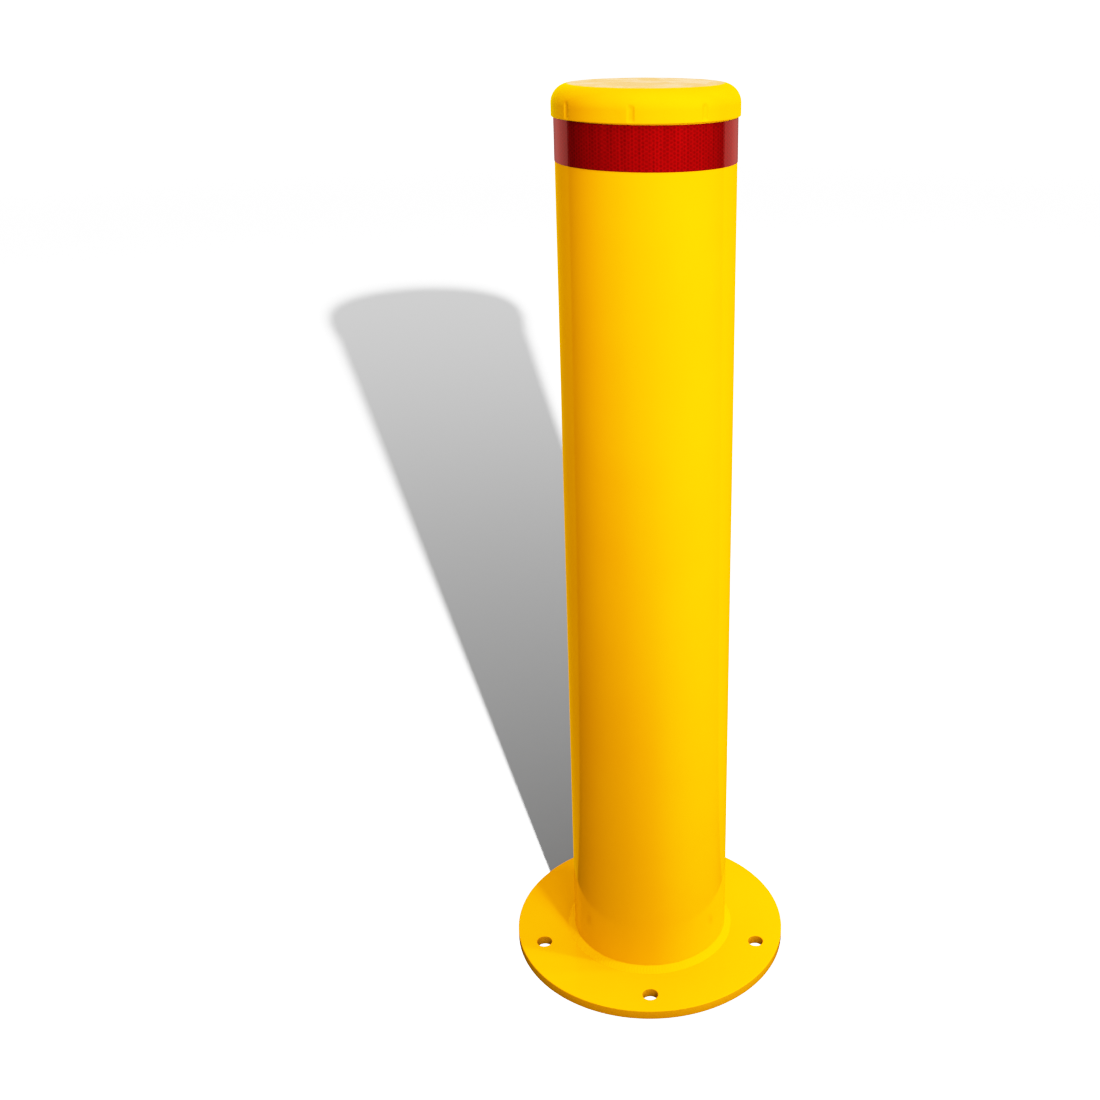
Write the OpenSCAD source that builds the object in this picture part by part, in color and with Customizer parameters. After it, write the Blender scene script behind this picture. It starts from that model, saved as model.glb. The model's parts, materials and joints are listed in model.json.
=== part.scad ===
// Surface-mounted steel safety bollard.
// A round tube stands square on a round drilled base plate and is fixed to it
// by one fillet weld. A strip of reflective tape runs round the tube under a
// moulded plastic cap, which is pushed over the open top of the tube.
//
// Frame: origin at the centre of the base plate's underside, +Z up the post,
// -Y towards the first anchor hole. Millimetres.

/* [Post] */
// Outside diameter of the steel tube
post_od = 165.1; // [139.7:0.1:168.3]
// Wall thickness of the steel tube
post_wall = 5; // [4:0.1:6.4]
// Cut length of the tube, from the plate's top face to the open top edge
post_len = 880; // [600:10:1200]
// Small bevel on the tube's top edge
post_bevel = 0.8; // [0.4:0.1:1.2]

/* [Base plate] */
// Diameter of the round base plate
plate_d = 290; // [270:1:330]
// Thickness of the base plate
plate_t = 10; // [8:1:16]
// Broken edge round the plate's rims
plate_bevel = 0.8; // [0.3:0.1:1.2]
// Number of anchor holes
hole_count = 5; // [4:1:8]
// Pitch circle diameter of the anchor holes
hole_pcd = 240; // [228:1:248]
// Diameter of each anchor hole
hole_d = 16; // [12:1:18]

/* [Weld] */
// Leg of the fillet weld along the plate
weld_leg_plate = 7.2; // [5:0.1:9]
// Leg of the fillet weld up the tube
weld_leg_post = 5; // [4:0.1:8]
// Shift of the weld face's midpoint, both outwards and upwards, from a flat fillet
weld_crown = 0.5; // [0.1:0.1:1]

/* [Reflective band] */
// Width of the reflective tape
band_w = 38.9; // [25:0.1:75]
// Thickness of the tape
band_t = 0.4; // [0.2:0.1:0.6]
// Bare strip of tube between the tape and the cap's lip
band_gap = 0.5; // [0.5:0.1:20]

/* [Cap] */
// Wall thickness of the moulded cap
cap_wall = 2.1; // [1.8:0.1:2.6]
// Radial gap between the tube and the cap's bore
cap_gap = 0.35; // [0.2:0.05:0.8]
// Length of skirt that hangs down outside the tube
cap_skirt = 13.8; // [12:0.1:24]
// Height of the cap's flat top over the tube's open edge
cap_rise = 14.5; // [13.9:0.1:16]
// Radius of the big round between the skirt and the flat top
cap_round = 17.2; // [16:0.1:18.5]
// Radius of the round on the skirt's lower lip
lip_round = 1.8; // [0.8:0.1:3]

/* [Cap grips] */
// Number of grooves round the skirt, each with a rib behind it
grip_count = 8; // [4:1:12]
// Angle from the front to the nearest groove
grip_phase = -8.7; // [-22:0.1:22]
// Radius of the rounded groove floor
groove_r = 4; // [3:0.1:5]
// Depth of each groove into the skirt
groove_depth = 1.1; // [0.6:0.1:1.2]
// Height of each groove
groove_h = 15; // [8:0.5:18]
// Height of the groove's foot over the lip
groove_lift = 2.6; // [2:0.1:4]
// Width of the grip rib behind each groove
rib_w = 2.6; // [1.5:0.1:4]
// Height of each grip rib
rib_h = 11; // [8:0.5:12]
// Height of the rib's foot over the lip
rib_lift = 1.6; // [1:0.1:3]
// Depth the rib is sunk into the skirt wall
rib_bite = 0.6; // [0.3:0.1:0.6]
// Clearance left between the grip ribs and the tube
rib_clear = 0.05; // [0.02:0.01:0.1]

/* [Hidden] */
$fn = 96;

// Extra length where shapes overlap or a cut runs past a face
over = 1;

post_r = post_od / 2;
post_ri = post_r - post_wall;
post_foot = plate_t;
post_top = post_foot + post_len;

plate_r = plate_d / 2;

// Cap radii and heights; round_x, round_z is the centre of the big round.
cap_ri = post_r + cap_gap;
cap_r = cap_ri + cap_wall;
cap_lip = post_top - cap_skirt;
cap_top = post_top + cap_rise;
round_x = cap_r - cap_round;
round_z = cap_top - cap_round;

band_top = cap_lip - band_gap;
band_foot = band_top - band_w;

steel_yellow = [1.00, 0.76, 0.02];
cap_yellow = [1.00, 0.84, 0.02];
tape_red = [0.62, 0.02, 0.03];

// Repeats a part drawn at the front (-Y) evenly round the post.
// A positive phase turns the first copy towards +X.
module ring_of(count, phase = 0) {
    for (i = [0 : count - 1])
        rotate([0, 0, phase + i * 360 / count])
            children();
}

// Straight tube, open at both ends, with its top edge lightly bevelled inside and out.
module post_tube() {
    color(steel_yellow)
    rotate_extrude()
    polygon([
        [post_ri, post_foot],
        [post_r, post_foot],
        [post_r, post_top - post_bevel],
        [post_r - post_bevel, post_top],
        [post_ri + post_bevel, post_top],
        [post_ri, post_top - post_bevel]
    ]);
}

// Round plate with broken rims and a ring of through holes, the first at the front.
module base_plate() {
    color(steel_yellow)
    difference() {
        rotate_extrude()
        polygon([
            [0, 0],
            [plate_r - plate_bevel, 0],
            [plate_r, plate_bevel],
            [plate_r, plate_t - plate_bevel],
            [plate_r - plate_bevel, plate_t],
            [0, plate_t]
        ]);
        ring_of(hole_count)
            translate([0, -hole_pcd / 2, -over])
                cylinder(d = hole_d, h = plate_t + 2 * over);
    }
}

// Fillet of weld metal in the corner between the tube and the plate.
module base_weld() {
    color(steel_yellow)
    rotate_extrude()
    polygon([
        [post_r, post_foot],
        [post_r + weld_leg_plate, post_foot],
        [post_r + weld_leg_plate / 2 + weld_crown,
         post_foot + weld_leg_post / 2 + weld_crown],
        [post_r, post_foot + weld_leg_post]
    ]);
}

// Tape wrapped once round the tube, just under the cap.
module reflective_band() {
    color(tape_red)
    rotate_extrude()
    translate([post_r, band_foot])
        square([band_t, band_w]);
}

// Upper part of a disc about the big round's centre, for either face of the shoulder.
module shoulder(radius) {
    intersection() {
        translate([round_x, round_z])
            circle(r = radius);
        translate([round_x - over, round_z])
            square([cap_round + 2 * over, cap_round + over]);
    }
}

// Half section of the cap's solid outer form: a rounded shoulder over a
// straight skirt that tucks in at its lip.
module cap_form() {
    translate([0, cap_lip + lip_round])
        square([cap_r, round_z - cap_lip - lip_round]);
    translate([0, cap_lip])
        square([cap_r - lip_round, lip_round + over]);
    translate([0, round_z - over])
        square([round_x, cap_round + over]);
    translate([cap_r - lip_round, cap_lip + lip_round])
        circle(r = lip_round);
    shoulder(cap_round);
}

// Half section of the hollow inside; its shoulder is concentric with the outer one.
module cap_hollow() {
    translate([-over, cap_lip - over])
        square([cap_ri + over, round_z - cap_lip + over]);
    translate([-over, round_z - over])
        square([round_x + over, cap_round - cap_wall + over]);
    shoulder(cap_round - cap_wall);
}

// Cutter for one rounded vertical groove in the outside of the skirt.
module grip_groove() {
    translate([0, -(cap_r + groove_r - groove_depth), cap_lip + groove_lift])
        cylinder(r = groove_r, h = groove_h);
}

// The flat-faced rib inside the skirt, behind a groove.
module grip_rib() {
    inner = post_r + rib_clear;
    outer = cap_ri + rib_bite;
    translate([-rib_w / 2, -outer, cap_lip + rib_lift])
        cube([rib_w, outer - inner, rib_h]);
}

// Push-on cap: thin moulded shell, grooves outside and grip ribs inside.
module cap() {
    color(cap_yellow)
    union() {
        difference() {
            rotate_extrude()
            difference() {
                cap_form();
                cap_hollow();
            }
            ring_of(grip_count, grip_phase) grip_groove();
        }
        ring_of(grip_count, grip_phase) grip_rib();
    }
}

post_tube();
base_plate();
base_weld();
reflective_band();
cap();
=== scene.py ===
import bpy
import bmesh
import json
import math
import numpy as np
from mathutils import Matrix, Vector, noise


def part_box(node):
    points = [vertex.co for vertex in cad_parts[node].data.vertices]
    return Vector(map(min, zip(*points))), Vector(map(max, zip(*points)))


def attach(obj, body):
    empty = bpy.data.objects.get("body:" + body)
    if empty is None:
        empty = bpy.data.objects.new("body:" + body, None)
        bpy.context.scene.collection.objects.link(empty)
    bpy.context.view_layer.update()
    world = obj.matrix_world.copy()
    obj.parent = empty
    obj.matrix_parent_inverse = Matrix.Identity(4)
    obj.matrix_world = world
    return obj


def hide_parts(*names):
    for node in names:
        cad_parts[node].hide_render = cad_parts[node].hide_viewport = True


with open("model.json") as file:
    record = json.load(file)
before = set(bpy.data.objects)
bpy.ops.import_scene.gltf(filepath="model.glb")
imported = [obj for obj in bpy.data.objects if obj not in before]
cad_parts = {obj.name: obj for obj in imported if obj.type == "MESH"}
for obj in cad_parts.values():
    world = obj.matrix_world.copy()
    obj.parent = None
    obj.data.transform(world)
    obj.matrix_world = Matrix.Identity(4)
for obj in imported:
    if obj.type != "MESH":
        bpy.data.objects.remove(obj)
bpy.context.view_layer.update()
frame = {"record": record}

TAU = 2 * math.pi
MM = 0.001
SCENE = bpy.context.scene


# ---------------------------------------------------------------- frame sizes
def top(node):
    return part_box(node)[1].z


def foot(node):
    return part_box(node)[0].z


def radius(node):
    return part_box(node)[1].x


TUBE_R, TUBE_FOOT, TUBE_TOP = radius("post_tube"), foot("post_tube"), top("post_tube")
TUBE_WALL = 5.0 * MM
PLATE_R, PLATE_T = radius("base_plate"), top("base_plate")
WELD_R, WELD_TOP = radius("base_weld"), top("base_weld")
BAND_R, BAND_LO, BAND_HI = radius("reflective_band"), foot("reflective_band"), top("reflective_band")
CAP_R, CAP_LO, CAP_HI = radius("cap"), foot("cap"), top("cap")
HOLES = next(m for m in frame["record"]["mounts"] if m["name"] == "anchor_holes")
HOLE_PCR = HOLES["dims"]["pcd_mm"] / 2 * MM
HOLE_R = HOLES["dims"]["hole_r_mm"] * MM
HOLE_N = int(HOLES["dims"]["count"])

# The tube and the cap measured from the front (-Y), positive towards +X.
GROOVE_N = 8
GROOVE_PHASE = math.radians(-8.7)
SEAM_AT = math.radians(152)      # the tape's lap and the tube's inner seam sit at the back
CAP_LEAN = (-0.0055, 0.0085)     # pressed on by hand, the cap leans down to the right and up at the front
CAP_OFF = 0.08 * MM              # and sits a touch to the right in its clearance
BAND_TILT_TOP, BAND_TILT_FOOT = -0.0120, -0.0140


def smooth(a, b, x):
    t = np.clip((np.asarray(x, float) - a) / (b - a), 0.0, 1.0)
    return t * t * (3 - 2 * t)


def around(theta, r):
    """x, y of a point at angle theta from the front, positive towards +X."""
    return r * np.sin(theta), -r * np.cos(theta)


def wobble(u, v, seed, scale=1.0):
    """Seeded smooth noise in -1..1, for one pair or for arrays of the same shape."""
    f = np.vectorize(lambda a, b: noise.noise(Vector((a * scale + seed * 7.31, b * scale - seed * 3.17, seed * 1.7))))
    return f(u, v)


# ---------------------------------------------------------------- mesh helpers
def finish_mesh(name, verts, faces, sharp=32, mats=(), face_mats=None, attrs=None):
    me = bpy.data.meshes.new(name)
    me.from_pydata([tuple(v) for v in verts], [], [tuple(f) for f in faces])
    for m in mats:
        me.materials.append(m)
    if face_mats is not None:
        me.polygons.foreach_set("material_index", np.asarray(face_mats, dtype=np.int32))
    bm = bmesh.new()
    bm.from_mesh(me)
    bmesh.ops.recalc_face_normals(bm, faces=bm.faces)
    bm.to_mesh(me)
    bm.free()
    if attrs:
        for key, values in attrs.items():
            a = me.attributes.new(key, "FLOAT", "POINT")
            a.data.foreach_set("value", np.asarray(values, dtype=np.float32))
    me.polygons.foreach_set("use_smooth", [True] * len(me.polygons))
    me.set_sharp_from_angle(angle=math.radians(sharp))
    me.validate()
    me.update()
    ob = bpy.data.objects.new(name, me)
    SCENE.collection.objects.link(ob)
    return ob


def lathe(name, profile, angles, push=None, closed=True, **kw):
    """Turns a profile of (r, z) about the post's axis. push(r, z, theta, i) may move a ring's points: it gets and returns arrays over theta.
    A point with r = 0 is a pole. closed joins the last profile point to the first."""
    angles = np.asarray(angles, float)
    n, verts, rows = len(angles), [], []
    for i, (r, z) in enumerate(profile):
        if r < 1e-9:
            rows.append([len(verts)])
            verts.append((0.0, 0.0, z))
            continue
        rr, zz = np.full(n, r), np.full(n, z)
        if push is not None:
            rr, zz = push(rr, zz, angles, i)
        x, y = around(angles, rr)
        rows.append(list(range(len(verts), len(verts) + n)))
        verts.extend(zip(x, y, zz))
    faces, ring_of = [], []
    m = len(profile)
    for i in range(m if closed else m - 1):
        a, b = rows[i], rows[(i + 1) % m]
        if len(a) == 1 and len(b) == 1:
            continue
        for j in range(n):
            k = (j + 1) % n
            if len(a) == 1:
                faces.append((a[0], b[k], b[j]))
            elif len(b) == 1:
                faces.append((a[j], a[k], b[0]))
            else:
                faces.append((a[j], a[k], b[k], b[j]))
            ring_of.append(i)
    fm = kw.pop("ring_mats", None)
    face_mats = [fm(i) for i in ring_of] if fm else None
    return finish_mesh(name, verts, faces, face_mats=face_mats, **kw)


def arc(cx, cz, r, a0, a1, n, ends=True):
    """Points on a circular arc in the (r, z) plane, angles in degrees from +r towards +z."""
    t = np.radians(np.linspace(a0, a1, n))
    pts = [(cx + r * math.cos(a), cz + r * math.sin(a)) for a in t]
    return pts if ends else pts[1:-1]


# ---------------------------------------------------------------- node helpers
class Nodes:
    """A short way to write a node tree."""

    def __init__(self, tree):
        self.t = tree
        self.t.nodes.clear()

    def add(self, kind, **props):
        inputs = props.pop("inputs", {})
        n = self.t.nodes.new(kind)
        for k, v in props.items():
            setattr(n, k, v)
        for k, v in inputs.items():
            self.put(n, k, v)
        return n

    def put(self, node, key, value):
        sock = node.inputs[key]
        if isinstance(value, bpy.types.NodeSocket):
            self.t.links.new(value, sock)
        elif isinstance(value, bpy.types.Node):
            self.t.links.new(value.outputs[0], sock)
        else:
            sock.default_value = value

    def math(self, op, a, b=0.0, c=0.0, clamp=False):
        n = self.t.nodes.new("ShaderNodeMath")
        n.operation = op
        n.use_clamp = clamp
        for i, v in enumerate((a, b, c)):
            self.put(n, i, v)
        return n.outputs[0]

    def ramp(self, x, a, b, lo=0.0, hi=1.0, kind="SMOOTHSTEP"):
        n = self.t.nodes.new("ShaderNodeMapRange")
        n.interpolation_type = kind
        for k, v in (("Value", x), ("From Min", a), ("From Max", b), ("To Min", lo), ("To Max", hi)):
            self.put(n, k, v)
        return n.outputs[0]

    def noise(self, vector, scale, detail=2.0, rough=0.5, distortion=0.0):
        n = self.t.nodes.new("ShaderNodeTexNoise")
        for k, v in (("Vector", vector), ("Scale", scale), ("Detail", detail), ("Roughness", rough), ("Distortion", distortion)):
            self.put(n, k, v)
        return n.outputs[0]

    def mix(self, fac, a, b, blend="MIX"):
        n = self.t.nodes.new("ShaderNodeMix")
        n.data_type = "RGBA"
        n.blend_type = blend
        self.put(n, 0, fac)
        for key, v in ((6, a), (7, b)):
            if isinstance(v, (tuple, list)):
                n.inputs[key].default_value = (*v[:3], 1.0)
            else:
                self.put(n, key, v)
        return n.outputs[2]

    def stretch(self, vector, sx, sy, sz):
        n = self.t.nodes.new("ShaderNodeVectorMath")
        n.operation = "MULTIPLY"
        self.put(n, 0, vector)
        n.inputs[1].default_value = (sx, sy, sz)
        return n.outputs[0]

    def bump(self, height, distance, normal=None, strength=1.0):
        n = self.t.nodes.new("ShaderNodeBump")
        self.put(n, "Height", height)
        n.inputs["Distance"].default_value = distance
        n.inputs["Strength"].default_value = strength
        if normal is not None:
            self.put(n, "Normal", normal)
        return n.outputs[0]


def principled(nd, mirror=None, under=None, **inputs):
    """A Principled body. mirror is the colour of the clear layer's reflections, which Principled would keep white at grazing angles, so it is mixed in over the body.
    under is (colour, share) for light sent back by facets below a clear film."""
    out = nd.add("ShaderNodeOutputMaterial")
    p = nd.add("ShaderNodeBsdfPrincipled")
    for k, v in inputs.items():
        key = k.replace("_", " ")
        if isinstance(v, tuple) and p.inputs[key].type == "RGBA":
            v = (*v[:3], 1.0)
        nd.put(p, key, v)
    if mirror is not None and under is None:
        # light passed from one yellow face to the next is kept paler and weaker, as the photo shows no deep orange corners
        ray = nd.add("ShaderNodeLightPath")
        seen = nd.mix(ray.outputs["Is Glossy Ray"], inputs["Base_Color"], MIRRORED)
        nd.put(p, "Base Color", nd.mix(ray.outputs["Is Diffuse Ray"], seen, BOUNCE))
    body = p.outputs[0]
    if under is not None:
        facets = nd.add("ShaderNodeBsdfGlossy", inputs={"Roughness": 0.22, "Normal": inputs["Normal"]})
        nd.put(facets, "Color", under[0])
        body = nd.add("ShaderNodeMixShader", inputs={0: under[1], 1: body, 2: facets.outputs[0]}).outputs[0]
    if mirror is not None:
        p.inputs["Specular IOR Level"].default_value = 0.0
        gloss = nd.add("ShaderNodeBsdfGlossy", inputs={"Roughness": inputs["Roughness"], "Normal": inputs["Normal"]})
        nd.put(gloss, "Color", (*mirror, 1.0) if isinstance(mirror, tuple) else mirror)
        fres = nd.add("ShaderNodeFresnel", inputs={"IOR": inputs["IOR"], "Normal": inputs["Normal"]})
        # seen face on, the layer's faint mirror image of the room's edge would read as a facet on the round tube, so it fades out
        tilt = nd.add("ShaderNodeLayerWeight", inputs={"Blend": 0.5}).outputs["Facing"]
        share = nd.math("MULTIPLY", fres.outputs[0], nd.ramp(tilt, 0.10, 0.50))
        body = nd.add("ShaderNodeMixShader", inputs={0: share, 1: body, 2: gloss.outputs[0]}).outputs[0]
    nd.t.links.new(body, out.inputs[0])
    return p


def material(name):
    m = bpy.data.materials.new(name)
    m.use_nodes = True
    return m, Nodes(m.node_tree)


COAT = (0.945, 0.350, 0.0004)
COAT_DEEP = (0.925, 0.333, 0.0003)
CAP_YELLOW = (0.935, 0.340, 0.0004)
SPEC_YELLOW = (1.0, 0.50, 0.0)
BOUNCE = (0.45, 0.26, 0.004)
MIRRORED = (0.90, 0.62, 0.02)    # one coated face as seen in another, so that the tint isn't taken twice


def powder_coat(name, rough=0.075, peel=1.0):
    """Semi-gloss yellow powder coat: orange peel in two sizes, faint tone drift, fine pinholes and dust nibs, and
    painted shade on the base plate's hole walls and outer rim wall.
    """
    m, nd = material(name)
    co = nd.add("ShaderNodeTexCoord").outputs["Object"]
    drift = nd.noise(co, 7.0, 3.0, 0.55)
    fine = nd.noise(co, 900.0, 2.0, 0.6)
    tone = nd.mix(nd.ramp(drift, 0.35, 0.68), COAT, COAT_DEEP)
    tone = nd.mix(nd.ramp(fine, 0.30, 0.75, 0.0, 0.10), tone, (0.97, 0.42, 0.001))
    # sparse pinholes and dust nibs in the coat
    cells = nd.add("ShaderNodeTexVoronoi", inputs={"Vector": co, "Scale": 95.0})
    nib = nd.ramp(cells.outputs["Distance"], 0.020, 0.060, 1.0, 0.0)
    keep = nd.math("GREATER_THAN", nd.add("ShaderNodeSeparateColor", inputs={"Color": cells.outputs["Color"]}).outputs[0], 0.80)
    nib = nd.math("MULTIPLY", nib, keep)
    tone = nd.mix(nd.math("MULTIPLY", nib, 0.35), tone, (0.70, 0.24, 0.002))
    # painted shade: where the plate's 'bore' attribute is set, on its hole walls and more lightly on its outer rim
    # wall, the coat is darkened towards brown as the shade there
    hole = nd.add("ShaderNodeAttribute", attribute_name="bore").outputs["Fac"]
    tone = nd.mix(nd.math("MULTIPLY", hole, nd.ramp(fine, 0.35, 0.65, 0.55, 0.95)), tone, (0.42, 0.165, 0.002))
    scuff = nd.noise(nd.stretch(co, 1.0, 1.0, 0.18), 120.0, 4.0, 0.65, 0.4)
    scuff = nd.ramp(scuff, 0.60, 0.78)
    r = nd.math("ADD", rough, nd.math("MULTIPLY", nd.math("SUBTRACT", drift, 0.5), 0.05))
    r = nd.math("ADD", r, nd.math("MULTIPLY", scuff, 0.05))
    peel_a = nd.noise(co, 330.0, 1.5, 0.5)
    peel_b = nd.noise(co, 1150.0, 2.0, 0.5)
    nrm = nd.bump(peel_a, 0.000009 * peel)
    nrm = nd.bump(peel_b, 0.0000020 * peel, nrm)
    nrm = nd.bump(nib, 0.00004, nrm)
    principled(nd, SPEC_YELLOW, Base_Color=tone, Roughness=r, IOR=1.5, Normal=nrm)
    return m


def moulded_plastic(name):
    """Smooth moulded polyethylene: satin, slightly translucent-looking, with faint flow marks and handling scuffs on top."""
    m, nd = material(name)
    geo = nd.add("ShaderNodeNewGeometry")
    co = nd.add("ShaderNodeTexCoord").outputs["Object"]
    flow = nd.noise(co, 26.0, 3.0, 0.5, 0.6)
    fine = nd.noise(co, 1300.0, 2.0, 0.6)
    tone = nd.mix(nd.ramp(flow, 0.35, 0.7), CAP_YELLOW, (0.915, 0.325, 0.0003))
    tone = nd.mix(nd.ramp(fine, 0.35, 0.75, 0.0, 0.08), tone, (0.97, 0.44, 0.001))
    up = nd.add("ShaderNodeSeparateXYZ", inputs={0: geo.outputs["Normal"]}).outputs["Z"]
    flat = nd.ramp(up, 0.984, 0.9992)
    # handling marks: short fine scratches in two directions and a blotchy haze on the flat top
    s1 = nd.noise(nd.stretch(co, 40.0, 900.0, 200.0), 1.0, 3.0, 0.7, 0.8)
    s2 = nd.noise(nd.stretch(co, 700.0, 60.0, 200.0), 1.0, 3.0, 0.7, 0.8)
    marks = nd.math("MAXIMUM", nd.ramp(s1, 0.66, 0.80), nd.ramp(s2, 0.68, 0.82))
    haze = nd.ramp(nd.noise(co, 60.0, 4.0, 0.6, 0.5), 0.42, 0.66)
    haze = nd.math("MULTIPLY", haze, flat)
    marks = nd.math("MULTIPLY", marks, flat)
    tone = nd.mix(nd.math("MULTIPLY", marks, 0.20), tone, (0.96, 0.55, 0.05))
    r = nd.math("ADD", 0.27, nd.math("MULTIPLY", nd.math("SUBTRACT", flow, 0.5), 0.08))
    r = nd.math("ADD", r, nd.math("MULTIPLY", haze, 0.10))
    r = nd.math("ADD", r, nd.math("MULTIPLY", marks, 0.12))
    grain = nd.noise(co, 700.0, 2.0, 0.55)
    nrm = nd.bump(grain, 0.000012)
    nrm = nd.bump(nd.noise(co, 90.0, 2.0, 0.5), 0.00010, nrm)
    nrm = nd.bump(marks, 0.00002, nrm)
    # the flat top is seen so low that it mirrors the pale room: that sheen is paler than the reflections on the skirt
    patch = nd.ramp(nd.noise(co, 34.0, 3.0, 0.55, 0.8), 0.40, 0.62)
    pale = nd.mix(patch, (0.74, 0.55, 0.30), (0.84, 0.68, 0.48))
    sheen = nd.mix(flat, (1.0, 0.70, 0.0), pale)
    principled(nd, sheen, Base_Color=tone, Roughness=r, IOR=1.5, Normal=nrm)
    return m


def prismatic_tape(name):
    """Red prismatic sheeting: honeycomb cells with lighter seal lines under a clear glossy film, darker along its top
    and bottom edges and on its cut edges, with faint vertical run-out streaks. Painted into its colour are random
    glints over the cells and a fall-off that darkens it away from face on.
    """
    m, nd = material(name)
    run = nd.add("ShaderNodeAttribute", attribute_name="run").outputs["Fac"]     # mm along the tape
    rise = nd.add("ShaderNodeAttribute", attribute_name="rise").outputs["Fac"]   # mm up the tape
    edge = nd.add("ShaderNodeAttribute", attribute_name="rim").outputs["Fac"]    # 1 on the cut edges
    co = nd.add("ShaderNodeTexCoord").outputs["Object"]
    pitch = 3.5
    col = pitch * math.sqrt(3) / 2

    def dist(shift_s, shift_z):
        """Hexagonal distance to the nearest centre of one of the two rectangular grids that make a honeycomb."""
        ds = nd.math("ABSOLUTE", nd.math("SUBTRACT", nd.math("MODULO", nd.math("ADD", run, 4000.0 * col + shift_s), 2 * col), col))
        dz = nd.math("ABSOLUTE", nd.math("SUBTRACT", nd.math("MODULO", nd.math("ADD", rise, 400.0 * pitch + shift_z), pitch), pitch / 2))
        slant = nd.math("ADD", nd.math("MULTIPLY", ds, math.cos(math.radians(30))), nd.math("MULTIPLY", dz, 0.5))
        return nd.math("MAXIMUM", slant, dz)

    d = nd.math("MINIMUM", dist(0.0, 0.0), dist(col, pitch / 2))       # 0 at a cell's centre, pitch / 2 at its border
    seal = nd.ramp(d, pitch / 2 - 0.42, pitch / 2 - 0.12)
    core = nd.ramp(d, 0.1, pitch / 2 - 0.3, 1.0, 0.0)
    vec = nd.add("ShaderNodeCombineXYZ", inputs={0: nd.math("MULTIPLY", run, 1 / col / 2), 1: nd.math("MULTIPLY", rise, 1 / pitch), 2: 0.0}).outputs[0]
    glint = nd.noise(vec, 1.6, 1.0, 0.5)
    streak = nd.noise(nd.add("ShaderNodeCombineXYZ", inputs={0: nd.math("MULTIPLY", run, 0.42), 1: nd.math("MULTIPLY", rise, 0.012), 2: 3.1}).outputs[0], 1.0, 3.0, 0.6)
    facing = nd.add("ShaderNodeLayerWeight", inputs={"Blend": 0.5}).outputs["Facing"]     # 0 face on, 1 at the rim
    level = nd.math("ADD", 0.77, nd.math("MULTIPLY", nd.ramp(streak, 0.28, 0.72, -1.0, 1.0, "LINEAR"), 0.15))
    # painted highlight: a random glint across the cells is painted into the colour
    level = nd.math("ADD", level, nd.math("MULTIPLY", nd.ramp(glint, 0.3, 0.7, -1.0, 1.0, "LINEAR"), 0.06))
    level = nd.math("ADD", level, nd.math("MULTIPLY", seal, 0.17))
    level = nd.math("SUBTRACT", level, nd.math("MULTIPLY", core, 0.16))
    # painted shade: the colour falls to about half away from face on, standing in for the sheeting sending light back
    # towards the viewer
    level = nd.math("MULTIPLY", level, nd.ramp(facing, 0.05, 0.62, 1.0, 0.52, "LINEAR"))
    # darker within 0.9 mm of the tape's top and bottom edges
    lip = nd.math("MAXIMUM", nd.ramp(rise, 0.15, 0.9, 1.0, 0.0), nd.ramp(rise, (BAND_HI - BAND_LO) / MM - 0.9, (BAND_HI - BAND_LO) / MM - 0.15))
    level = nd.math("MULTIPLY", level, nd.math("SUBTRACT", 1.0, nd.math("MULTIPLY", lip, 0.40)))
    level = nd.math("MULTIPLY", level, nd.math("SUBTRACT", 1.0, nd.math("MULTIPLY", edge, 0.35)))
    red = nd.mix(nd.ramp(level, 0.2, 1.05, 0.0, 1.0, "LINEAR"), (0.050, 0.0004, 0.0004), (0.300, 0.0010, 0.0012))
    film = nd.noise(co, 70.0, 2.0, 0.5)
    film2 = nd.noise(nd.stretch(co, 1.0, 1.0, 0.12), 260.0, 2.0, 0.5)
    nrm = nd.bump(seal, 0.000010)
    nrm = nd.bump(film, 0.00003, nrm)
    nrm = nd.bump(film2, 0.000012, nrm)
    mirror = nd.mix(nd.ramp(facing, 0.70, 0.88), (0.64, 0.245, 0.205), (0.34, 0.145, 0.125))
    principled(
        nd, mirror, under=(nd.mix(nd.ramp(level, 0.2, 1.05, 0.0, 1.0, "LINEAR"), (0.40, 0.004, 0.004), (0.85, 0.010, 0.010)), nd.ramp(facing, 0.30, 0.75, 0.06, 0.30)),
        Base_Color=red, Roughness=nd.ramp(film, 0.3, 0.7, 0.055, 0.10, "LINEAR"), IOR=1.5, Normal=nrm,
    )
    return m


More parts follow.
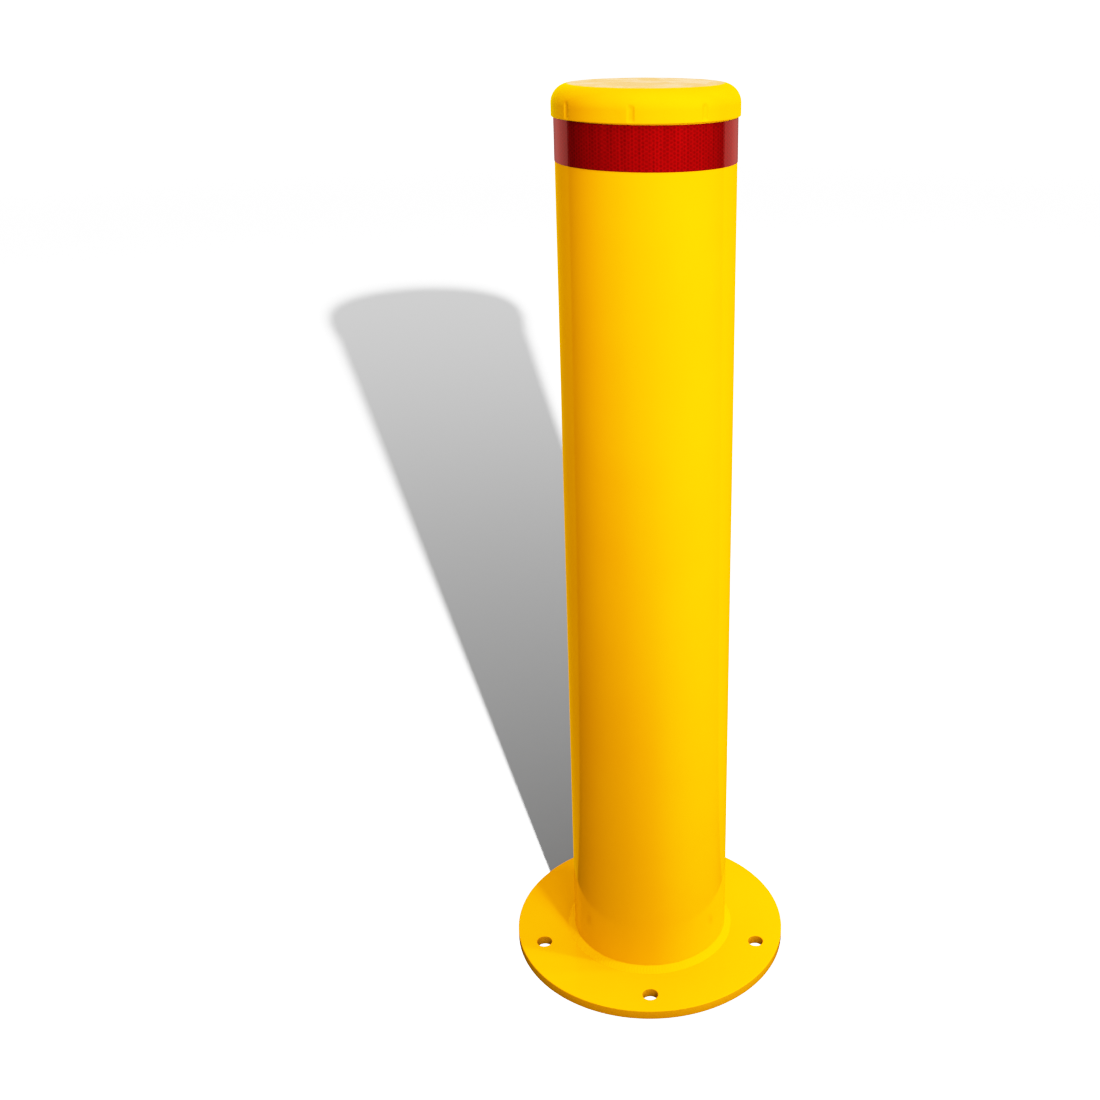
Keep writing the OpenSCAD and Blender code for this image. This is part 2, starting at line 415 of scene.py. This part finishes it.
def bare_steel(name):
    """The tube's bore: mill scale and a mist of yellow overspray that thins out down the bore."""
    m, nd = material(name)
    co = nd.add("ShaderNodeTexCoord").outputs["Object"]
    z = nd.add("ShaderNodeSeparateXYZ", inputs={0: co}).outputs["Z"]
    blotch = nd.noise(co, 38.0, 5.0, 0.62)
    fine = nd.noise(co, 1600.0, 2.0, 0.6)
    steel = nd.mix(nd.ramp(blotch, 0.35, 0.7), (0.090, 0.082, 0.078), (0.150, 0.125, 0.105))
    steel = nd.mix(nd.ramp(blotch, 0.62, 0.80, 0.0, 0.55), steel, (0.20, 0.085, 0.035))
    depth = nd.math("SUBTRACT", TUBE_TOP, z)
    wavy = nd.math("ADD", depth, nd.math("MULTIPLY", nd.math("SUBTRACT", blotch, 0.5), 0.05))
    mist = nd.ramp(wavy, 0.015, 0.110, 1.0, 0.0)
    mist = nd.math("MULTIPLY", mist, nd.ramp(fine, 0.30, 0.55, 0.55, 1.0), clamp=True)
    solid = nd.ramp(wavy, 0.0, 0.035, 1.0, 0.0)
    mist = nd.math("MAXIMUM", mist, solid)
    tone = nd.mix(mist, steel, COAT)
    nrm = nd.bump(nd.noise(co, 500.0, 3.0, 0.6), 0.00004)
    principled(nd, Base_Color=tone, Roughness=nd.math("SUBTRACT", 0.62, nd.math("MULTIPLY", mist, 0.25)), Metallic=nd.math("MULTIPLY", nd.math("SUBTRACT", 1.0, mist), 0.35), IOR=1.5, Normal=nrm)
    return m


POST_COAT = powder_coat("post_coat_look")
PLATE_COAT = powder_coat("plate_coat_look", rough=0.12)
WELD_COAT = powder_coat("weld_coat_look", rough=0.20, peel=1.3)
TAPE = prismatic_tape("reflective_tape_look")
PLASTIC = moulded_plastic("cap_plastic_look")
BORE = bare_steel("tube_bore_look")


# ---------------------------------------------------------------- post tube
def build_tube():
    ro, ri, z0, z1 = TUBE_R, TUBE_R - TUBE_WALL, TUBE_FOOT, TUBE_TOP
    e = 0.8 * MM
    outer = [(ro, z) for z in np.linspace(z0, z1 - e, 92)]
    top_edge = arc(ro - e, z1 - e, e, 0, 90, 6)[1:] + arc(ri + e, z1 - e, e, 90, 180, 6)
    inner = [(ri, z) for z in np.linspace(z1 - e, z0, 60)[1:]]
    profile = outer + top_edge + inner
    n_out, n_top = len(outer), len(top_edge)
    seam = SEAM_AT + np.array([-3.4, -2.4, -1.6, -0.9, -0.4, 0.0, 0.4, 0.9, 1.6, 2.4, 3.4]) * MM / ri
    angles = np.sort(np.concatenate([np.linspace(-math.pi, math.pi, 256, endpoint=False) + 0.0031, seam]))

    def push(r, z, th, i):
        if i < n_out and 0 < i:
            # the drawn tube is straight and round to a few hundredths of a millimetre
            fade = min(1.0, i / 4, (n_out - i) / 3)
            r = r + fade * 0.020 * MM * wobble(np.cos(th) * 1.6 + z * 4.0, np.sin(th) * 1.6 + z * 2.3, 1)
        elif i >= n_out + n_top - 3:
            s = (th - SEAM_AT) * ri / MM
            bead = np.exp(-(s / 1.5) ** 2) * (0.70 + 0.12 * wobble(z * 160, z * 90, 2))
            live = min(1.0, max(0.0, (z1 - e - float(z[0])) / (1.5 * MM)))
            r = r - bead * MM * live
        return r, z

    return lathe(
        "post_tube_steel", profile, angles, push, mats=[POST_COAT, BORE], sharp=40,
        ring_mats=lambda i: 1 if i >= n_out + n_top - 1 else 0,
    )


# ---------------------------------------------------------------- base plate
def build_plate():
    """A laser-cut disc with softened rims. Its faces are filled between the outer rim and the hole rims."""
    bm = bmesh.new()
    re, rh, t = 0.9 * MM, 0.75 * MM, PLATE_T
    n_rim, n_hole = 288, 56

    def ring(cx, cy, r, z, n):
        return [bm.verts.new((cx + r * math.sin(TAU * j / n), cy - r * math.cos(TAU * j / n), z)) for j in range(n)]

    def skin(a, b):
        n = len(a)
        for j in range(n):
            bm.faces.new((a[j], a[(j + 1) % n], b[(j + 1) % n], b[j]))

    def wall(cx, cy, r, sign, e, n):
        """Rings down a wall whose two rims are rounded: sign +1 for the outside of the plate, -1 for a hole."""
        rows = []
        for a in np.linspace(90, 0, 6):
            rows.append((r - sign * e + sign * e * math.cos(math.radians(a)), t - e + e * math.sin(math.radians(a))))
        rows.append((r, t / 2))
        for a in np.linspace(0, -90, 6):
            rows.append((r - sign * e + sign * e * math.cos(math.radians(a)), e + e * math.sin(math.radians(a))))
        rings = [ring(cx, cy, rr, zz, n) for rr, zz in rows]
        for a, b in zip(rings, rings[1:]):
            skin(a, b)
        return rings[0], rings[-1]

    def guard(cx, cy, r, z, n, inner):
        """A narrow flat ring beside a rim, so that the rim's shading stays off the flat face."""
        g = ring(cx, cy, r, z, n)
        skin(inner, g)
        return g

    tops, feet = [], []
    a, b = wall(0, 0, PLATE_R, 1, re, n_rim)
    tops.append(guard(0, 0, PLATE_R - re - 0.5 * MM, t, n_rim, a))
    feet.append(guard(0, 0, PLATE_R - re - 0.5 * MM, 0.0, n_rim, b))
    for k in range(HOLE_N):
        cx, cy = around(TAU * k / HOLE_N, HOLE_PCR)
        a, b = wall(float(cx), float(cy), HOLE_R, -1, rh, n_hole)
        tops.append(guard(float(cx), float(cy), HOLE_R + rh + 0.4 * MM, t, n_hole, a))
        feet.append(guard(float(cx), float(cy), HOLE_R + rh + 0.4 * MM, 0.0, n_hole, b))
    bm.edges.ensure_lookup_table()
    for loops in (tops, feet):
        edges = []
        for loop in loops:
            for j in range(len(loop)):
                edges.append(bm.edges.get((loop[j], loop[(j + 1) % len(loop)])))
        bmesh.ops.triangle_fill(bm, use_beauty=True, use_dissolve=False, edges=edges)
    bmesh.ops.recalc_face_normals(bm, faces=bm.faces)
    me = bpy.data.meshes.new("base_plate_steel")
    bm.to_mesh(me)
    bm.free()
    me.materials.append(PLATE_COAT)
    inside = me.attributes.new("bore", "FLOAT", "POINT")
    centres = [around(TAU * k / HOLE_N, HOLE_PCR) for k in range(HOLE_N)]
    # painted shade: 1 on the hole walls and 0.60 on the outer rim wall; the coat is darkened by this much as the shade
    # there
    for v in me.vertices:
        near = min(math.hypot(v.co.x - cx, v.co.y - cy) for cx, cy in centres)
        wall_shade = float(near < HOLE_R + 0.35 * rh and 0.3 * rh < v.co.z < t - 0.3 * rh)
        if math.hypot(v.co.x, v.co.y) > PLATE_R - 0.35 * re and v.co.z < t - 0.3 * re:
            wall_shade = 0.60
        inside.data[v.index].value = wall_shade
    me.polygons.foreach_set("use_smooth", [True] * len(me.polygons))
    me.set_sharp_from_angle(angle=math.radians(30))
    ob = bpy.data.objects.new("base_plate_steel", me)
    SCENE.collection.objects.link(ob)
    return ob


# ---------------------------------------------------------------- weld
def build_weld():
    """One run of weld metal under the coat: soft overlapping ripples, a wandering toe and a stop crater at the back."""
    leg_p, leg_t = WELD_R - TUBE_R, WELD_TOP - PLATE_T
    m = 15
    ts = np.linspace(0, 1, m)
    face = []
    for t in ts:      # from the toe on the plate to the toe on the tube
        u, v = leg_p * (1 - t), leg_t * t
        crown = 0.10 * MM * math.sin(math.pi * t)
        face.append((u + crown * 0.57, v + crown * 0.82))
    profile = [(TUBE_R + u, PLATE_T + v) for u, v in face]
    sink = 0.25 * MM
    profile += [(TUBE_R - sink, PLATE_T + leg_t), (TUBE_R - sink, PLATE_T - sink), (TUBE_R + leg_p, PLATE_T - sink)]
    angles = np.linspace(-math.pi, math.pi, 960, endpoint=False)
    pitch = 3.1 * MM

    def push(r, z, th, i):
        if i >= m:
            if i == m + 2:
                r = r + wander(th)
            return r, z
        t = ts[i]
        s = th * TUBE_R
        bow = 0.42 * (1 - (2 * t - 1) ** 2)
        jit = 0.30 * wobble(np.cos(th) * 9, np.sin(th) * 9, 5)
        ph = s / pitch + bow + jit
        saw = (ph - np.floor(ph))
        rip = (1 - np.abs(2 * saw - 1)) ** 1.4
        amp = 0.24 * MM * (1 + 0.60 * wobble(np.cos(th) * 5, np.sin(th) * 5, 6))
        body = math.sin(math.pi * min(max(t, 0.02), 0.98)) ** 0.6
        lift = (rip - 0.4) * amp * body
        # the run's start and stop overlap
        stop = np.exp(-((th - math.radians(118)) * TUBE_R / (5 * MM)) ** 2)
        lift = lift + 0.40 * MM * stop * body
        r = r + lift * 0.57 + wander(th) * (1 - t)
        z = z + lift * 0.82
        if i == m - 1:
            z = z + 0.25 * MM * wobble(np.cos(th) * 7, np.sin(th) * 7, 8)
        return r, z

    def wander(th):
        return 0.40 * MM * wobble(np.cos(th) * 6, np.sin(th) * 6, 7) - 0.25 * MM

    return lathe("base_weld_bead", profile, angles, push, mats=[WELD_COAT], sharp=50)


# ---------------------------------------------------------------- reflective tape
def build_tape():
    """A flat strip wrapped once round the tube by hand, with a short lap at the back and a slight lean."""
    thick, glue, lap = 0.32 * MM, 0.03 * MM, 14 * MM
    width = BAND_HI - BAND_LO
    r0 = TUBE_R + glue
    length = TAU * r0 + lap
    n = 620
    # the first and last stretches are finer, so that the step over the lap is crisp
    s = np.unique(np.concatenate([
        np.linspace(0, lap + 6 * MM, 60), np.linspace(lap + 6 * MM, TAU * r0 - 6 * MM, n), np.linspace(TAU * r0 - 6 * MM, length, 80),
    ]))
    th = SEAM_AT + s / r0
    climb = smooth(TAU * r0 - 2.6 * MM, TAU * r0 - 0.2 * MM, s) * (thick + 0.02 * MM)
    e = 0.10 * MM
    rows = list(np.linspace(0, 1, 9))
    # cross section, walked inside up then outside down
    section = [(0.0, 0.0 + e), (0.0, width - e), (e * 0.3, width)] + [(thick - e, width)] + [(thick, width - e)]
    section += [(thick, e + (width - 2 * e) * (1 - t)) for t in rows[1:-1]]
    section += [(thick, e), (thick - e, 0.0), (e * 0.3, 0.0)]
    verts, run, rise, rim = [], [], [], []
    for k, (sk, a, c) in enumerate(zip(s, th, climb)):
        drift = 0.25 * MM * (sk / length - 0.5) + 0.10 * MM * noise.noise(Vector((sk * 12, 3.0, 0.5)))
        for (dr, w) in section:
            r = r0 + c + dr
            x, y = around(a, r)
            f = w / width
            tilt = (BAND_TILT_FOOT * (1 - f) + BAND_TILT_TOP * f) * x
            rest = drift + (0.25 - 1.35 * smooth(0.0, TUBE_R, y)) * MM
            # the top edge stays just below the leaning cap's lip, which has no room for the tape inside it
            lip = CAP_LO + CAP_LEAN[0] * x - CAP_LEAN[1] * y - 0.15 * MM
            over = max(0.0, BAND_HI + BAND_TILT_TOP * x + rest - lip)
            verts.append((float(x), float(y), BAND_LO + w + drift + tilt + (rest - drift - over) * f))
            run.append(sk / MM)
            rise.append(w / MM)
            rim.append(0.0 if dr > thick * 0.9 else 1.0)
    m = len(section)
    faces = []
    for k in range(len(s) - 1):
        for i in range(m):
            j = (i + 1) % m
            faces.append((k * m + i, k * m + j, (k + 1) * m + j, (k + 1) * m + i))
    faces.append(tuple(range(m)))
    last = (len(s) - 1) * m
    faces.append(tuple(last + i for i in reversed(range(m))))
    return finish_mesh("reflective_band_tape", verts, faces, sharp=30, mats=[TAPE], attrs={"run": run, "rise": rise, "rim": rim})


# ---------------------------------------------------------------- cap
def build_cap():
    """Thin moulded shell: flat top, big shoulder round, straight skirt tucked in at the lip, pressed grooves with ribs behind them."""
    wall, big, lip = 2.1 * MM, 17.2 * MM, 0.9 * MM
    bore = CAP_R - wall
    zt = CAP_HI
    cz = zt - big                       # centre height of the shoulder round
    cx = CAP_R - big
    zb = CAP_LO                         # the lip's lowest point
    lx, lz = CAP_R - lip, zb + lip
    profile = [(0.0, zt)]
    profile += [(r, zt) for r in np.linspace(0, cx, 18)[1:-1]]
    profile += arc(cx, cz, big, 90, 0, 34)
    profile += [(CAP_R, z) for z in np.linspace(cz, lz, 9)[1:-1]]
    profile += arc(lx, lz, lip, 0, -90, 14)
    n_out = len(profile) - 1
    profile += [(bore + 0.30 * MM, zb), (bore + 0.08 * MM, zb + 0.09 * MM), (bore, zb + 0.32 * MM)]
    profile += [(bore, z) for z in np.linspace(zb + 0.32 * MM, cz, 15)[1:]]
    profile += arc(cx, cz, big - wall, 0, 90, 14)[1:]
    profile += [(r, zt - wall) for r in np.linspace(cx, 0, 8)[1:-1]]
    profile += [(0.0, zt - wall)]
    # finer steps across each groove
    span = math.radians(4.6)
    local = np.linspace(-span, span, 41)
    gap = np.linspace(span, TAU / GROOVE_N - span, 24)[1:-1]
    angles = np.concatenate([GROOVE_PHASE + k * TAU / GROOVE_N + np.concatenate([local, gap]) for k in range(GROOVE_N)])
    centres = GROOVE_PHASE + np.arange(GROOVE_N) * TAU / GROOVE_N

    def across(th):
        d = (th[:, None] - centres[None, :] + math.pi) % TAU - math.pi
        return np.min(np.abs(d), axis=1) * CAP_R

    def push(r, z, th, i):
        s = across(th)
        zz = float(z[0])
        if i <= n_out:
            if zz < zt - 2 * MM:
                # groove: rounded floor, firm side walls, closed at the foot and running out into the shoulder
                half = 3.5 * MM
                low, high = zb + 1.9 * MM, zb + 17.0 * MM
                floor = np.clip(1 - (s / half) ** 2, 0, 1) ** 1.05
                ends = float(smooth(low - 0.8 * MM, low + 0.8 * MM, zz)) * (1 - float(smooth(high - 5.0 * MM, high, zz)))
                depth = 1.20 * MM * floor * ends
                r = r - depth
            # the moulding is a touch uneven
            z = z + 0.05 * MM * wobble(r * np.sin(th) * 30, r * np.cos(th) * 30, 11)
        elif zz < cz and zz > zb + 1.6 * MM and float(r[0]) > cx:
            rib = np.clip(1 - (np.maximum(s - 1.0 * MM, 0) / (0.45 * MM)), 0, 1)
            live = float(smooth(zb + 1.6 * MM, zb + 3.0 * MM, zz)) * (1 - float(smooth(zb + 12.0 * MM, zb + 12.8 * MM, zz)))
            r = r - rib * live * 0.16 * MM
        x, y = around(th, r)
        z = z + CAP_LEAN[0] * x - CAP_LEAN[1] * y
        return r, z

    ob = lathe("cap_shell", profile, angles, push, closed=False, mats=[PLASTIC], sharp=48)
    for v in ob.data.vertices:
        v.co.x += CAP_OFF
    return ob


PIECES = {
    "post_tube": (build_tube(), "post", "post_coat"),
    "base_plate": (build_plate(), "post", "plate_coat"),
    "base_weld": (build_weld(), "post", "weld_coat"),
    "reflective_band": (build_tape(), "post", "reflective_tape"),
    "cap": (build_cap(), "cap", "cap_plastic"),
}
for node, (piece, body, slot) in PIECES.items():
    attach(piece, body)
    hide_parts(node)


# ---------------------------------------------------------------- stage
def build_floor():
    m, nd = material("pale_floor")
    out = nd.add("ShaderNodeOutputMaterial")
    path = nd.add("ShaderNodeLightPath")
    pos = nd.add("ShaderNodeNewGeometry").outputs["Position"]
    xyz = nd.add("ShaderNodeSeparateXYZ", inputs={0: pos})
    x, y = xyz.outputs["X"], xyz.outputs["Y"]
    dist = nd.math("SQRT", nd.math("ADD", nd.math("MULTIPLY", x, x), nd.math("MULTIPLY", y, y)))
    # seen directly: pale matt paper that catches the lamp, with a painted glow as the soft level in the shade that
    # rises away from the post, running out to white far off
    grain = nd.noise(pos, 45.0, 4.0, 0.6)
    white = nd.mix(nd.ramp(grain, 0.3, 0.7), (0.80, 0.80, 0.80), (0.78, 0.78, 0.78))
    white = nd.mix(nd.ramp(dist, 0.7, 3.4, 0.0, 1.0), white, (1.25, 1.25, 1.25))
    paper = nd.add("ShaderNodeBsdfDiffuse", inputs={"Color": white})
    far = nd.math("SUBTRACT", 1.0, nd.math("EXPONENT", nd.math("DIVIDE", dist, -1.4)))
    shade = nd.add("ShaderNodeEmission", name="shade", inputs={"Color": (1, 1, 1, 1), "Strength": nd.math("MULTIPLY_ADD", far, 0.52, 0.100)})
    shown = nd.add("ShaderNodeMixShader", inputs={0: 0.12, 1: shade, 2: paper})
    # painted light: a flat white glow covers the floor under the plate, seen through its holes, and a 16 mm ring beside
    # the plate at its front and sides, hiding the plate's own shade and shadow there; beyond 4 m it is the even white
    # floor
    under = nd.add("ShaderNodeEmission", name="under", inputs={"Color": (1, 1, 1, 1), "Strength": 1.7})
    back = nd.math("DIVIDE", y, nd.math("MAXIMUM", dist, 0.001))
    near = nd.math("MULTIPLY", nd.math("LESS_THAN", dist, PLATE_R + 0.016), nd.ramp(back, 0.30, 0.66, 1.0, 0.0))
    painted_glow_and_far_white = nd.math("MAXIMUM", nd.math("MAXIMUM", nd.math("LESS_THAN", dist, PLATE_R - 0.002), near), nd.ramp(dist, 4.0, 7.5))
    seen = nd.add("ShaderNodeMixShader", inputs={0: painted_glow_and_far_white, 1: shown, 2: under})
    # bounce light and mirror light from the floor: soft constant levels, brighter behind the object
    sheen = nd.add("ShaderNodeEmission", name="sheen", inputs={"Color": (1, 1, 1, 1), "Strength": nd.math("MULTIPLY", nd.ramp(back, 0.375, 0.395, 0.02, 1.0), nd.ramp(dist, 0.8, 3.4, 1.0, 1.40))})
    fill = nd.add("ShaderNodeEmission", name="fill", inputs={"Color": (1, 1, 1, 1), "Strength": 0.0})
    a = nd.add("ShaderNodeMixShader", inputs={0: path.outputs["Is Glossy Ray"], 1: fill, 2: sheen})
    b = nd.add("ShaderNodeMixShader", inputs={0: path.outputs["Is Camera Ray"], 1: a, 2: seen})
    nd.t.links.new(b.outputs[0], out.inputs[0])
    m.cycles.emission_sampling = "NONE"
    bm = bmesh.new()
    bmesh.ops.create_circle(bm, cap_ends=True, segments=96, radius=40.0)
    me = bpy.data.meshes.new("floor")
    bm.to_mesh(me)
    bm.free()
    me.materials.append(m)
    ob = bpy.data.objects.new("floor", me)
    ob.location = (0, 0, -0.0003)
    SCENE.collection.objects.link(ob)
    return ob


def build_world():
    w = bpy.data.worlds.new("studio")
    SCENE.world = w
    w.use_nodes = True
    nd = Nodes(w.node_tree)
    out = nd.add("ShaderNodeOutputWorld")
    path = nd.add("ShaderNodeLightPath")
    d = nd.add("ShaderNodeTexCoord").outputs["Generated"]
    xyz = nd.add("ShaderNodeSeparateXYZ", inputs={0: d})
    x, y, z = xyz.outputs["X"], xyz.outputs["Y"], xyz.outputs["Z"]
    flat = nd.math("SQRT", nd.math("ADD", nd.math("MULTIPLY", x, x), nd.math("MULTIPLY", y, y)))
    back = nd.math("DIVIDE", y, nd.math("MAXIMUM", flat, 0.001))
    cloth = nd.ramp(back, 0.375, 0.395, 0.02, 1.60)
    blotch = nd.noise(d, 22.0, 5.0, 0.65)
    cloth = nd.math("MULTIPLY", cloth, nd.ramp(blotch, 0.3, 0.7, 0.70, 1.25, "LINEAR"))
    level = nd.ramp(z, 0.55, 0.95, 1.0, 0.45)
    mirror = nd.add("ShaderNodeBackground", name="mirror", inputs={"Color": (1, 1, 1, 1), "Strength": nd.math("MULTIPLY", cloth, level)})
    # soft light for matt surfaces: wide pale walls in front, on both sides and behind
    side = nd.math("MULTIPLY", nd.math("MAXIMUM", nd.math("MULTIPLY", y, -1.0), 0.0), 1.06)
    for part, share in ((x, 0.27), (nd.math("MULTIPLY", x, -1.0), 0.75), (y, 2.06)):
        side = nd.math("ADD", side, nd.math("MULTIPLY", nd.math("MAXIMUM", part, 0.0), share))
    soft = nd.add("ShaderNodeBackground", name="soft", inputs={"Color": (1, 1, 1, 1), "Strength": side})
    sky = nd.add("ShaderNodeBackground", name="sky", inputs={"Color": (1, 1, 1, 1), "Strength": 1.8})
    a = nd.add("ShaderNodeMixShader", inputs={0: path.outputs["Is Glossy Ray"], 1: soft, 2: mirror})
    b = nd.add("ShaderNodeMixShader", inputs={0: path.outputs["Is Camera Ray"], 1: a, 2: sky})
    nd.t.links.new(b.outputs[0], out.inputs[0])
    w.cycles.sampling_method = "NONE"


FLOOR = build_floor()
build_world()

OBJECT_SET = bpy.data.collections.new("lit_object")
FLOOR_SET = bpy.data.collections.new("lit_floor")
for node, (piece, body, slot) in PIECES.items():
    OBJECT_SET.objects.link(piece)
FLOOR_SET.objects.link(FLOOR)


def aim(ob, at):
    ob.rotation_mode = "QUATERNION"
    ob.rotation_quaternion = (Vector(at) - ob.location).to_track_quat("-Z", "Y")


def lamp(name, kind, azimuth, distance, height, at, power, size=0.5, receivers=None):
    """A light at an azimuth from the front (positive towards +X), a horizontal distance and a height."""
    data = bpy.data.lights.new(name, kind)
    data.energy = power
    if kind == "AREA":
        data.shape = "DISK"
        data.size = size
    else:
        data.shadow_soft_size = size
    ob = bpy.data.objects.new(name, data)
    ob.visible_glossy = False
    a = math.radians(azimuth)
    ob.location = (distance * math.sin(a), -distance * math.cos(a), height)
    ob.visible_camera = False
    aim(ob, at)
    SCENE.collection.objects.link(ob)
    if receivers is not None:
        ob.light_linking.receiver_collection = receivers
    return ob


FLOOR_LAMP = 1150.0


def build_lights():
    """Soft lamps on the right, near and far, and a small one close to the front."""
    lamp("key_far", "AREA", 28, 3.0, 2.4, (0, 0, 0.5), 60.0, 0.25, OBJECT_SET)
    lamp("key_high", "AREA", 28, 1.0, 3.0, (0, 0, 0.2), 26.7, 0.25, OBJECT_SET)
    lamp("side_far", "AREA", 72, 3.0, 3.0, (0, 0, 0.2), 50.0, 0.20, OBJECT_SET)
    lamp("side_high", "AREA", 72, 1.0, 3.0, (0, 0, 0.2), 8.7, 0.20, OBJECT_SET)
    lamp("side_low", "AREA", 64, 0.55, 0.4, (0, 0, 0), 0.7, 0.12, OBJECT_SET)
    lamp("side_foot", "AREA", 88, 1.2, 0.45, (0, 0, 0.2), 8.6, 0.20, OBJECT_SET)
    lamp("front_right", "AREA", 10, 0.7, 0.85, (0, 0, 0.85), 3.3, 0.20, OBJECT_SET)
    # one small lamp for the floor only: it throws the post's long widening shadow and has no falloff of its own
    bulb = lamp("floor_lamp", "POINT", 13.2, 1.137, 1.228, (0, 0, 0), 1.0, 0.013, FLOOR_SET)
    bulb.data.use_nodes = True
    nd = Nodes(bulb.data.node_tree)
    even = nd.add("ShaderNodeLightFalloff", inputs={"Strength": FLOOR_LAMP})
    glow = nd.add("ShaderNodeEmission", inputs={"Color": (1, 1, 1, 1), "Strength": even.outputs["Constant"]})
    out = nd.add("ShaderNodeOutputLight")
    nd.t.links.new(glow.outputs[0], out.inputs[0])


build_lights()


# ---------------------------------------------------------------- camera
def build_camera():
    """A 45 mm lens 1.27 m in front of the post and 1 m up, looking 20 degrees down, with the frame shifted as in a cropped picture."""
    yaw, pitch, roll = -0.0071967, 0.3503471, -0.0074620
    focal, cx, cy, frame_px = 1382.545, 638.259, 474.215, 1100.0
    w = Vector((math.sin(yaw) * math.cos(pitch), math.cos(yaw) * math.cos(pitch), -math.sin(pitch)))
    right = Vector((math.cos(yaw), -math.sin(yaw), 0))
    up = right.cross(w)
    r2 = right * math.cos(roll) + up * math.sin(roll)
    u2 = up * math.cos(roll) - right * math.sin(roll)
    data = bpy.data.cameras.new("camera")
    data.sensor_fit = "HORIZONTAL"
    data.sensor_width = 36.0
    data.lens = 36.0 * focal / frame_px
    data.clip_start, data.clip_end = 0.02, 200.0
    ob = bpy.data.objects.new("camera", data)
    rot = Matrix(((r2.x, u2.x, -w.x), (r2.y, u2.y, -w.y), (r2.z, u2.z, -w.z))).to_4x4()
    place = Matrix.Translation((0.0, -1.27023675, 0.99891422))
    ob.matrix_world = place @ rot
    SCENE.collection.objects.link(ob)
    SCENE.camera = ob
    # The frame's shift belongs to this viewpoint only: it fades to nothing when the camera is moved elsewhere.
    mark = bpy.data.objects.new("camera_mark", None)
    mark.matrix_world = place
    SCENE.collection.objects.link(mark)
    for path, value in (("shift_x", (550.0 - cx) / frame_px), ("shift_y", (cy - 550.0) / frame_px)):
        curve = data.driver_add(path)
        while curve.modifiers:
            curve.modifiers.remove(curve.modifiers[0])
        drv = curve.driver
        drv.type = "SUM"
        var = drv.variables.new()
        var.name = "away"
        var.type = "LOC_DIFF"
        var.targets[0].id = ob
        var.targets[1].id = mark
        curve.keyframe_points.add(2)
        curve.keyframe_points[0].co = (0.0, value)
        curve.keyframe_points[1].co = (0.02, 0.0)
        for k in curve.keyframe_points:
            k.interpolation = "LINEAR"
        curve.extrapolation = "CONSTANT"
        curve.update()
    return ob


build_camera()
SCENE.view_settings.view_transform = "Standard"
SCENE.view_settings.look = "None"
# a soft shoulder over the bright end, as in the photo, where the red channel runs out gently
SCENE.view_settings.use_curve_mapping = True
TONE = SCENE.view_settings.curve_mapping
TONE.white_level = (1.6, 1.6, 1.6)
curve = TONE.curves[3]
curve.points[0].location, curve.points[1].location = (0.0, 0.0), (1.0, 1.0)
for level, shown in ((0.2, 0.2), (0.4, 0.4), (0.6, 0.6), (0.78, 0.723), (0.99, 0.847), (1.19, 0.93), (1.4, 0.975)):
    curve.points.new(level / 1.6, shown)
for spot in curve.points:
    spot.handle_type = "VECTOR" if spot.location[0] < 0.35 else "AUTO"
TONE.update()

bpy.context.view_layer.update()
